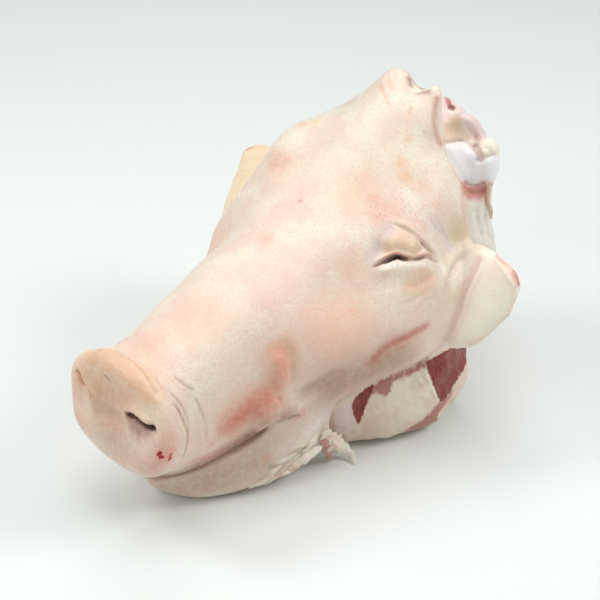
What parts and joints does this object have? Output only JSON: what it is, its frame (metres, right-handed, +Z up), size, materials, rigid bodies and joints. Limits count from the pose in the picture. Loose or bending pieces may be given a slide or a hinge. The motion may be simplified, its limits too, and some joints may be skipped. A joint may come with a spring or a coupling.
{
  "type": "pig head",
  "caption": "Butchered pig head with the ears cut away, lying on its chin and jowls, with shut eyes and bare flesh at the jowls and neck.",
  "frame": {"origin": "bottom centre of the bounding box, on the surface that the head lies on", "axes": "+Y from the snout to the neck, +X to the pig's left, +Z up"},
  "size_m": [0.2212, 0.2672, 0.1998],
  "materials": {
    "skin": "pale moist skin, scalded and scraped",
    "flesh": "moist fat with red muscle",
    "eye": "dark wet eyeball"
  },
  "bodies": {
    "root": {"head": "skin", "flesh": "flesh", "eye_left": "eye", "eye_right": "eye"}
  },
  "joints": []
}
